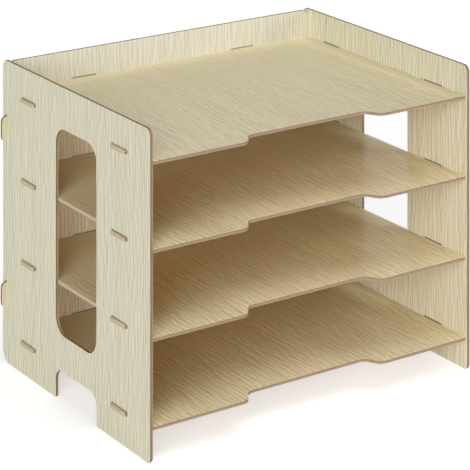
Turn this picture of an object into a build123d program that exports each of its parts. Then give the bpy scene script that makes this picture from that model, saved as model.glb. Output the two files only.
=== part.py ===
from build123d import *
import os

# Open desk organizer for papers: four fixed shelves between two side panels and a back panel.
# Every piece is a flat cut board. The boards lock together with tabs that pass through slots.
# Frame: X across, -Y is the front, +Z up. The origin is on the floor, under the middle of the body.
# Sizes are in millimetres.

# The body
board = 2.5                # thickness of every board
body_width = 330.0         # over the outer faces of the side panels
body_depth = 250.0         # front edge to rear edge of a side panel
foot_height = 26.0         # floor to the top of the foot notch, where the bottom shelf begins
shelf_pitch = 71.0         # from one shelf to the next
shelf_names = ("bottom_shelf", "lower_shelf", "upper_shelf", "top_shelf")
rim_height = 26.5          # side panels above the top shelf

# Side panels
top_corner_r = 6.0         # both upper corners
rear_foot_r = 12.5         # lower rear corner
front_foot_r = 5.0         # lower front corner
foot_tip_r = 2.5           # lower corners beside the notch
opening_width = 68.6       # window and foot notch are equally wide
opening_setback = 85.3     # front edge of the panel to the front of window and notch
notch_r = 10.0             # upper corners of the notch
window_sill = 28.0         # top of the bottom shelf to the window
window_head = 6.5          # window to the underside of the top shelf
window_r = 15.0            # all four corners of the window

# Shelves
shelf_setback = 1.5        # front edge behind the front edge of the side panels
shelf_corner_r = 3.0       # front corners
grip_width = 138.0         # finger recess in the front edge, at its mouth
grip_depth = 14.5          # from the front edge to the floor of the recess
grip_slope = 9.0           # how far each slanted end runs sideways
grip_r = 9.0               # all four corners of the recess

# Back panel
back_setback = 5.0         # rear face to the rear edges of the side panels
back_drop = 1.0            # top edge below the top edges of the side panels
back_rise = 12.0           # floor to its lower edge
back_corner_r = 6.0        # all four corners

# Tabs and slots
tab_length = 24.0          # shelf tab, along the edge of the shelf
tab_reach = 2.8            # shelf tab, beyond the far face of the board that it goes through
tab_corner_r = 2.0         # shelf tab, outer corners
back_tab_length = 22.0     # the same three for the tabs of the back panel
back_tab_reach = 5.0
back_tab_corner_r = 4.5
side_tab_pitch = 154.0     # between the two tabs on each side of a shelf
rear_tab_pitch = 172.0     # between the two tabs at the rear of a shelf
back_tab_pitch = 147.0     # between the two tabs on each side of the back panel
slot_play = 1.0            # free height over a seated tab
slot_end_gap = 0.5         # free length at each end of a tab

# Places that follow from those sizes
shelf_heights = [foot_height + shelf_pitch * i for i in range(len(shelf_names))]
top_shelf_face = shelf_heights[-1] + board
side_height = top_shelf_face + rim_height
inner_width = body_width - 2 * board
opening_y = -body_depth / 2 + opening_setback + opening_width / 2
back_rear = body_depth / 2 - back_setback
back_front = back_rear - board
back_top = side_height - back_drop
shelf_front = -body_depth / 2 + shelf_setback
side_tab_places = [-side_tab_pitch / 2, side_tab_pitch / 2]
rear_tab_places = [-rear_tab_pitch / 2, rear_tab_pitch / 2]
back_tab_places = [(side_height - back_tab_pitch) / 2, (side_height + back_tab_pitch) / 2]


def block(left, low, right, high):
    """A flat rectangle between two corners."""
    return Pos((left + right) / 2, (low + high) / 2) * Rectangle(right - left, high - low)


def rounded(outline, corners, radius):
    """The outline with the corners at the given points rounded."""
    found = [outline.vertices().sort_by_distance(corner)[0] for corner in corners]
    return fillet(found, radius)


def tab(length, reach, corner_r):
    """One tab that sticks out along +X from its root at the origin, through a board and beyond it."""
    run = board + reach
    half = length / 2
    return rounded(block(0, -half, run, half), [(run, -half), (run, half)], corner_r)


def tab_pairs(edge, places, shape):
    """Tabs of one shape on the left and right edges of a board, at the given places along them."""
    tabs = []
    for place in places:
        tabs.append(Pos(edge, place) * shape)
        tabs.append(Pos(-edge, place) * Rot(0, 0, 180) * shape)
    return tabs


def lying_slots(places):
    """Slots that shelf tabs rest in, at the given places along a panel and at every shelf."""
    half = tab_length / 2 + slot_end_gap
    height = board + slot_play
    return [block(place - half, z, place + half, z + height) for place in places for z in shelf_heights]


def upright_slots():
    """Slots in a side panel that the tabs of the back panel stand in."""
    half = back_tab_length / 2
    far = back_front + board + slot_play
    return [block(back_front, z - half, far, z + half + 2 * slot_end_gap) for z in back_tab_places]


def side_outline():
    """Side panel seen from the right: foot notch below, window above it, slots for shelves and back."""
    front, rear = -body_depth / 2, body_depth / 2
    near, far = opening_y - opening_width / 2, opening_y + opening_width / 2
    outline = block(front, 0, rear, side_height) - block(near, 0, far, foot_height)
    outline = rounded(outline, [(front, side_height), (rear, side_height)], top_corner_r)
    outline = rounded(outline, [(rear, 0)], rear_foot_r)
    outline = rounded(outline, [(front, 0)], front_foot_r)
    outline = rounded(outline, [(near, 0), (far, 0)], foot_tip_r)
    outline = rounded(outline, [(near, foot_height), (far, foot_height)], notch_r)
    sill = shelf_heights[0] + board + window_sill
    head = shelf_heights[-1] - window_head
    window = Pos(opening_y, (sill + head) / 2) * RectangleRounded(opening_width, head - sill, window_r)
    return outline - window - lying_slots(side_tab_places) - upright_slots()


def back_outline():
    """Back panel seen from the front, with its side tabs and the slots for the shelves."""
    edge = inner_width / 2
    corners = [(x, z) for x in (-edge, edge) for z in (back_rise, back_top)]
    outline = rounded(block(-edge, back_rise, edge, back_top), corners, back_corner_r)
    shape = tab(back_tab_length, back_tab_reach, back_tab_corner_r)
    return outline + tab_pairs(edge, back_tab_places, shape) - lying_slots(rear_tab_places)


def shelf_outline():
    """Shelf seen from above, with the finger recess in its front edge and tabs on the other three."""
    edge = inner_width / 2
    mouth = grip_width / 2
    floor = mouth - grip_slope
    grip_floor = shelf_front + grip_depth
    ends = [(-mouth, shelf_front), (mouth, shelf_front), (floor, grip_floor), (-floor, grip_floor)]
    outline = block(-edge, shelf_front, edge, back_front) - Polygon(*ends, align=None)
    outline = rounded(outline, ends, grip_r)
    outline = rounded(outline, [(-edge, shelf_front), (edge, shelf_front)], shelf_corner_r)
    shape = tab(tab_length, tab_reach, tab_corner_r)
    rear_tabs = [Pos(x, back_front) * Rot(0, 0, 90) * shape for x in rear_tab_places]
    return outline + tab_pairs(edge, side_tab_places, shape) + rear_tabs


def cut_board(outline, face):
    """A board of the given outline, standing on the given face of the sheet."""
    return extrude(face * outline, board)


side = side_outline()
shelf = shelf_outline()
pieces = {
    "left_side_panel": cut_board(side, Plane.YZ.offset(-body_width / 2)),
    "right_side_panel": cut_board(side, Plane.YZ.offset(body_width / 2 - board)),
    "back_panel": cut_board(back_outline(), Plane.XZ.offset(-back_rear)),
}
for name, height in zip(shelf_names, shelf_heights):
    pieces[name] = cut_board(shelf, Plane.XY.offset(height))

os.makedirs("parts", exist_ok=True)
for name, piece in pieces.items():
    export_step(piece, f"parts/{name}.step")
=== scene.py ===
import bpy
from math import cos, radians, sin
from mathutils import Matrix, Vector


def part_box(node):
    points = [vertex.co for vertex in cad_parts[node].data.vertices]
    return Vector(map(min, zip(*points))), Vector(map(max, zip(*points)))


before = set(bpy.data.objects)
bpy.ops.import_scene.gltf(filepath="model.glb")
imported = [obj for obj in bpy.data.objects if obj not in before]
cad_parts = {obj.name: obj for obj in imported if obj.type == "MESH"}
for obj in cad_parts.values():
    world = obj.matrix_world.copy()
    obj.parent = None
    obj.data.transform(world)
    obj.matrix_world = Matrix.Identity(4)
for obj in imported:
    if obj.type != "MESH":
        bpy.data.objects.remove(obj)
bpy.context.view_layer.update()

# Open desk organizer for papers, cut from thin board with a pale printed coating and brown cut edges.
# Everything is in metres, in the frame of the solids: X across, -Y is the front, +Z up.

# The view
PICTURE = 470                        # pixels along each side of the picture
LENS = 2275.8                        # pixels from the lens to the upright picture plane
LEVEL_POINT = (250.5, -565.0)        # pixel where a level line of sight meets that plane
EYE = Vector((-1.1197, -1.6764, 0.8235))
HEADING = radians(34.13)             # turned to the right from looking straight at the front

# Colours of the faces: between the printed streaks, and in a streak
SIDE = ((0.855, 0.815, 0.640), (0.605, 0.565, 0.415))
BACK = ((0.760, 0.730, 0.615), (0.608, 0.575, 0.468))
BACK_SHADE_BETWEEN_SHELVES = ((0.860, 0.735, 0.530), (0.640, 0.530, 0.370))   # front of the back panel below the top shelf, browner: painted warm shade between the shelves
# the back panel's tabs, darker and yellower: painted shade
BACK_TAB_SHADE = ((0.690, 0.630, 0.440), (0.620, 0.560, 0.385))
SHELF = ((0.935, 0.838, 0.561), (0.600, 0.520, 0.325))
UNDERSIDE = ((0.880, 0.600, 0.270), (0.760, 0.500, 0.210))
SLOT_SHADE = ((0.060, 0.042, 0.026), (0.040, 0.028, 0.018))          # painted shade on the foot of a shelf tab, inside its slot

# Colours of the cut edges: plain part, and scorched or darker part
CUT = ((0.370, 0.260, 0.165), (0.200, 0.140, 0.090))
SHELF_CUT = ((0.400, 0.285, 0.188), (0.310, 0.220, 0.145))
LONG_CUT = ((0.660, 0.560, 0.400), (0.560, 0.470, 0.330))      # outer side edges of shelves and their tabs

# For each board the colours of its faces and of its edges, the direction of its grain, and the side along its
# thickness that is scorched
PANEL_FINISH = (SIDE, CUT, "Z", -1)
SHELF_FINISH = (SHELF, SHELF_CUT, "Y", 1)
BOARDS = {"left_side_panel": PANEL_FINISH, "right_side_panel": PANEL_FINISH,
          "back_panel": (BACK, CUT, "Z", -1),
          "bottom_shelf": SHELF_FINISH, "lower_shelf": SHELF_FINISH,
          "upper_shelf": SHELF_FINISH, "top_shelf": SHELF_FINISH}

# The printed grain. Its streaks, bands and sway as lengths across the grain and along it
STREAK = (0.0015, 0.020)
BAND = (0.011, 0.240)
SWAY = (0.030, 0.080)
SWAY_REACH = 0.002                   # how far the streaks sway to the side
NOISE_MIDDLE = 0.5                   # mean of a noise
STREAK_RANGE = (-0.20, 0.20)         # noise difference at a pale and at a dark place
BAND_RANGE = (0.30, 0.70)            # noise at a pale and at a dark place
STREAK_SHARE = 0.85                  # part of the darkness that is in the streaks
BAND_SHARE = 0.15                    # part of it that is in the bands
NEXT_PRINT = Vector((0.370, 0.629, 0.851))   # how far the print moves on from one board to the next
PRINT_MIDDLE = 0.5                   # mean darkness of the print
FAINT_RUN = (-0.03, 0.09)            # along Y, where the streaks of a shelf begin to fade and are faintest
FAINT_SHARE = 0.65                   # part of their contrast that is lost there

# The cut edges
FIBRE = 0.0014                       # size of the specks
SPECK_RANGE = (0.3, 0.7)             # noise at a plain and at a dark speck
SCORCH_RANGE = (-0.5, 0.4)           # where scorching begins and is full, from face (-1) to face (1)
SLOT_SHADE_RUN = 0.0010                    # from the inner face of a panel into its slots, where the shade on the tab feet is painted

# The surface
FACE_TILT = 0.5                      # a normal with more than this along the thickness is on a face
SIDE_TILT = 0.7                      # an edge with more than this along X looks sideways
FACE_ROUGHNESS = 0.28
STREAK_ROUGHNESS = 0.12              # added along the streaks
EDGE_ROUGHNESS = 0.40                # added on cut edges
GLOSS = 0.06
BUMP_STRENGTH = 0.15
BUMP_HEIGHT = 0.0002
FIBRE_HEIGHT = 0.5                   # height of the specks beside that of the streaks

# The studio. For each lamp its strength, and in degrees its spread, its height and its turn from the front
WHITE = (1.0, 1.0, 1.0, 1.0)
SKY_STRENGTH = 0.05
LAMPS = {"overhead": (1.30, 40, 70, 20),
         "key": (0.65, 25, 32, -45),
         "low_left": (2.45, 40, 5, -50),
         "low_front": (0.76, 12, 3, 15),
         "rear_right": (0.95, 12, 3, 140)}
FLOOR_SIZE = 30.0
FLOOR_ALBEDO = 0.90
FLOOR_WHITE = 0.30                   # share of the floor's look that is plain white
FLOOR_GLOW = 2.05                    # brightness of that white, so that the floor is white out of the shadow


class Graph:
    """Adds shader nodes to a material, one call each."""

    def __init__(self, tree):
        self.tree = tree
        tree.nodes.clear()

    def add(self, kind, *values, **settings):
        """A node with these settings, and its first inputs set to values or linked. None leaves an input."""
        node = self.tree.nodes.new(kind)
        for name, value in settings.items():
            setattr(node, name, value)
        for socket, value in zip(node.inputs, values):
            self.put(socket, value)
        return node

    def put(self, socket, value):
        if isinstance(value, bpy.types.NodeSocket):
            self.tree.links.new(value, socket)
        elif value is not None:
            socket.default_value = value

    def math(self, operation, *values):
        return self.add("ShaderNodeMath", *values, operation=operation).outputs[0]

    def vector(self, operation, *values):
        return self.add("ShaderNodeVectorMath", *values, operation=operation).outputs[0]

    def parts(self, vector):
        return self.add("ShaderNodeSeparateXYZ", vector).outputs

    def noise(self, place, detail, roughness=0.5):
        made = self.add("ShaderNodeTexNoise", place)
        self.put(made.inputs["Scale"], 1.0)
        self.put(made.inputs["Detail"], detail)
        self.put(made.inputs["Roughness"], roughness)
        return made.outputs[0]

    def ramp(self, value, low, high):
        """0 below low, 1 above high, smooth between."""
        return self.add("ShaderNodeMapRange", value, low, high, interpolation_type="SMOOTHSTEP").outputs[0]

    def mix(self, share, first, second):
        """A colour between two colours. A Mix node has its colours at inputs 6 and 7 and output 2."""
        made = self.add("ShaderNodeMix", share, data_type="RGBA")
        for socket, colour in zip(made.inputs[6:8], (first, second)):
            self.put(socket, colour if isinstance(colour, bpy.types.NodeSocket) else (*colour, 1.0))
        return made.outputs[2]


def printed_grain(g, place, grain, across):
    """Fine lines along the grain, and how dark the print is once faint broad bands are added."""
    def stretched(at, lengths):
        scale = {across: 1 / lengths[0], grain: 1 / lengths[1]}
        return g.vector("MULTIPLY", at, tuple(scale.get(axis, 1.0) for axis in "XYZ"))

    sway = g.math("SUBTRACT", g.noise(stretched(place, SWAY), detail=1.0), NOISE_MIDDLE)
    shift = g.add("ShaderNodeCombineXYZ")
    g.put(shift.inputs[across], g.math("MULTIPLY", sway, SWAY_REACH))
    place = g.vector("ADD", place, shift.outputs[0])
    here = stretched(place, STREAK)
    beside = g.vector("ADD", here, tuple(float(axis == across) for axis in "XYZ"))
    lines = g.math("SUBTRACT", g.noise(here, detail=1.0), g.noise(beside, detail=1.0))
    bands = g.noise(stretched(place, BAND), detail=2.0)
    dark = g.math("ADD", g.math("MULTIPLY", g.ramp(lines, *STREAK_RANGE), STREAK_SHARE),
                  g.math("MULTIPLY", g.ramp(bands, *BAND_RANGE), BAND_SHARE))
    return lines, dark


def fainter_behind(g, spot, lines, dark):
    """The print of a shelf, with fainter streaks towards the rear."""
    faint = g.math("MULTIPLY", g.ramp(spot["Y"], *FAINT_RUN), FAINT_SHARE)
    lines = g.add("ShaderNodeMix", faint, None, lines, 0.0).outputs[0]
    dark = g.add("ShaderNodeMix", faint, None, dark, PRINT_MIDDLE).outputs[0]
    return lines, dark


def past_side(g, spot):
    """How far a place lies beyond the inner faces of the side panels."""
    return g.math("SUBTRACT", g.math("ABSOLUTE", spot["X"]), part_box("right_side_panel")[0].x)


def past_back(g, spot):
    """How far a place lies beyond the front face of the back panel."""
    return g.math("SUBTRACT", spot["Y"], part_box("back_panel")[0].y)


def shelf_colours(g, spot, facing, dark, fibre, face, edge):
    """Adds to a shelf its brown underside, painted shade on the feet of its tabs inside the slots, and its
    paler outer side edges.
    """
    face = g.mix(g.math("LESS_THAN", facing["Z"], 0.0), face, g.mix(dark, *UNDERSIDE))
    aside = past_side(g, spot)
    reach = g.math("MAXIMUM", aside, past_back(g, spot))
    # painted shade: the part of a tab just inside its slot is darkened
    shaded_foot = g.math("MULTIPLY", g.math("GREATER_THAN", reach, 0.0), g.math("LESS_THAN", reach, SLOT_SHADE_RUN))
    face = g.mix(shaded_foot, face, g.mix(dark, *SLOT_SHADE))
    sideways = g.math("GREATER_THAN", g.math("ABSOLUTE", facing["X"]), SIDE_TILT)
    outermost = g.math("MULTIPLY", sideways, g.math("GREATER_THAN", aside, -SLOT_SHADE_RUN))
    edge = g.mix(outermost, edge, g.mix(g.ramp(fibre, *SPECK_RANGE), *LONG_CUT))
    return face, edge


def back_colour(g, spot, facing, dark, face):
    """Adds to the back panel painted warm shade on its front below the top shelf, and painted shade on its
    tabs.
    """
    # painted warm shade on the front of the back panel between the shelves
    below = g.math("LESS_THAN", spot["Z"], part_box("top_shelf")[0].z)
    shaded_between_shelves = g.math("MULTIPLY", below, g.math("LESS_THAN", facing["Y"], 0.0))
    face = g.mix(shaded_between_shelves, face, g.mix(dark, *BACK_SHADE_BETWEEN_SHELVES))
    # painted shade on the tabs of the back panel, out past the side panels
    shaded_tab = g.math("GREATER_THAN", past_side(g, spot), 0.0)
    return g.mix(shaded_tab, face, g.mix(dark, *BACK_TAB_SHADE))


def coated_shader(g, colour, on_face, lines, fibre):
    """Satin faces and dull edges, with streaks and specks that stand out a little."""
    shader = g.add("ShaderNodeBsdfPrincipled", colour)
    rough_face = g.math("ADD", FACE_ROUGHNESS, g.math("MULTIPLY", lines, STREAK_ROUGHNESS))
    rough_edge = g.math("MULTIPLY", g.math("SUBTRACT", 1.0, on_face), EDGE_ROUGHNESS)
    g.put(shader.inputs["Roughness"], g.math("ADD", rough_face, rough_edge))
    g.put(shader.inputs["Specular IOR Level"], GLOSS)
    bump = g.add("ShaderNodeBump")
    g.put(bump.inputs["Strength"], BUMP_STRENGTH)
    g.put(bump.inputs["Distance"], BUMP_HEIGHT)
    height = g.math("ADD", g.math("MULTIPLY", on_face, lines), g.math("MULTIPLY", fibre, FIBRE_HEIGHT))
    g.put(bump.inputs["Height"], height)
    g.put(shader.inputs["Normal"], bump.outputs[0])
    g.add("ShaderNodeOutputMaterial", shader.outputs[0])


def board_material(node, tones, cut, grain, scorched_side, shift):
    """Coated board: printed streaks on its faces, brown scorched edges. Shift moves its print."""
    low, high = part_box(node)
    size = high - low
    thickness = min(size)
    thick = "XYZ"[list(size).index(thickness)]
    across = next(axis for axis in "XYZ" if axis not in (thick, grain))
    material = bpy.data.materials.new(f"{node}_finish")
    material.use_nodes = True
    g = Graph(material.node_tree)
    place = g.add("ShaderNodeTexCoord").outputs["Object"]
    spot = g.parts(place)
    facing = g.parts(g.add("ShaderNodeNewGeometry").outputs["True Normal"])
    own = g.vector("ADD", place, shift)
    lines, dark = printed_grain(g, own, grain, across)
    if thick == "Z":
        lines, dark = fainter_behind(g, spot, lines, dark)
    fibre = g.noise(g.vector("MULTIPLY", own, (1 / FIBRE,) * 3), detail=3.0, roughness=0.6)

    middle = ((low + high) / 2)["XYZ".index(thick)]
    depth = g.math("MULTIPLY", g.math("SUBTRACT", spot[thick], middle), 2 * scorched_side / thickness)
    burnt = g.math("ADD", depth, g.math("SUBTRACT", fibre, NOISE_MIDDLE))
    edge = g.mix(g.ramp(burnt, *SCORCH_RANGE), *cut)
    face = g.mix(dark, *tones)
    if thick == "Z":
        face, edge = shelf_colours(g, spot, facing, dark, fibre, face, edge)
    if thick == "Y":
        face = back_colour(g, spot, facing, dark, face)
    on_face = g.math("GREATER_THAN", g.math("ABSOLUTE", facing[thick]), FACE_TILT)
    coated_shader(g, g.mix(on_face, edge, face), on_face, lines, fibre)
    return material


def make_camera():
    """A view camera: it looks down, but its picture plane stands upright, so uprights stay parallel."""
    right = Vector((cos(HEADING), -sin(HEADING), 0))
    ahead = Vector((sin(HEADING), cos(HEADING), 0))
    up = Vector((0, 0, 1))
    middle = PICTURE / 2
    aim = ahead * LENS + right * (middle - LEVEL_POINT[0]) - up * (middle - LEVEL_POINT[1])
    data = bpy.data.cameras.new("camera")
    data.lens = data.sensor_width * aim.length / PICTURE
    data.clip_end = FLOOR_SIZE * 2
    camera = bpy.data.objects.new("camera", data)
    stand = bpy.data.objects.new("camera_stand", None)
    for item in (camera, stand):
        bpy.context.scene.collection.objects.link(item)
    camera.parent = stand
    upright = Matrix((right, up, -aim.normalized())).transposed().to_4x4()
    camera.matrix_parent_inverse = Matrix.Translation(EYE) @ upright
    bpy.context.scene.camera = camera


def seen_directly(g):
    """1 for rays that show a surface as it is: from the camera, by gloss or through glass."""
    path = g.add("ShaderNodeLightPath").outputs
    seen = g.math("MAXIMUM", path["Is Camera Ray"], path["Is Glossy Ray"])
    return g.math("MAXIMUM", seen, path["Is Transmission Ray"])


def make_sky():
    """White to look at, and weak and even as a light."""
    world = bpy.data.worlds.new("studio")
    bpy.context.scene.world = world
    world.use_nodes = True
    g = Graph(world.node_tree)
    strength = g.add("ShaderNodeMix", seen_directly(g), None, SKY_STRENGTH, 1.0)
    sky = g.add("ShaderNodeBackground", WHITE, strength.outputs[0])
    g.add("ShaderNodeOutputWorld", sky.outputs[0])


def make_lamps():
    """Soft distant lamps."""
    for name, (strength, spread, height, turn) in LAMPS.items():
        sun = bpy.data.lights.new(name, "SUN")
        sun.energy = strength
        sun.angle = radians(spread)
        lamp = bpy.data.objects.new(name, sun)
        lamp.rotation_euler = (radians(90 - height), 0, radians(turn))
        lamp.visible_glossy = abs(turn) < 90    # from behind, a lamp would glare on the shelves
        bpy.context.scene.collection.objects.link(lamp)


def make_floor():
    """A pale floor that looks white and keeps the shadow."""
    bpy.ops.mesh.primitive_plane_add(size=FLOOR_SIZE)
    floor = bpy.context.object
    floor.name = "floor"
    material = bpy.data.materials.new("floor")
    material.use_nodes = True
    g = Graph(material.node_tree)
    matte = g.add("ShaderNodeBsdfDiffuse", (FLOOR_ALBEDO,) * 3 + (1.0,))
    white = g.add("ShaderNodeEmission", WHITE, FLOOR_GLOW)
    share = g.math("MULTIPLY", seen_directly(g), FLOOR_WHITE)
    look = g.add("ShaderNodeMixShader", share, matte.outputs[0], white.outputs[0])
    g.add("ShaderNodeOutputMaterial", look.outputs[0])
    floor.data.materials.append(material)


for number, (name, finish) in enumerate(BOARDS.items()):
    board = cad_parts[name]
    board.data.materials.clear()
    board.data.materials.append(board_material(name, *finish, NEXT_PRINT * number))

make_camera()
make_sky()
make_lamps()
make_floor()
bpy.context.scene.view_settings.view_transform = "Standard"
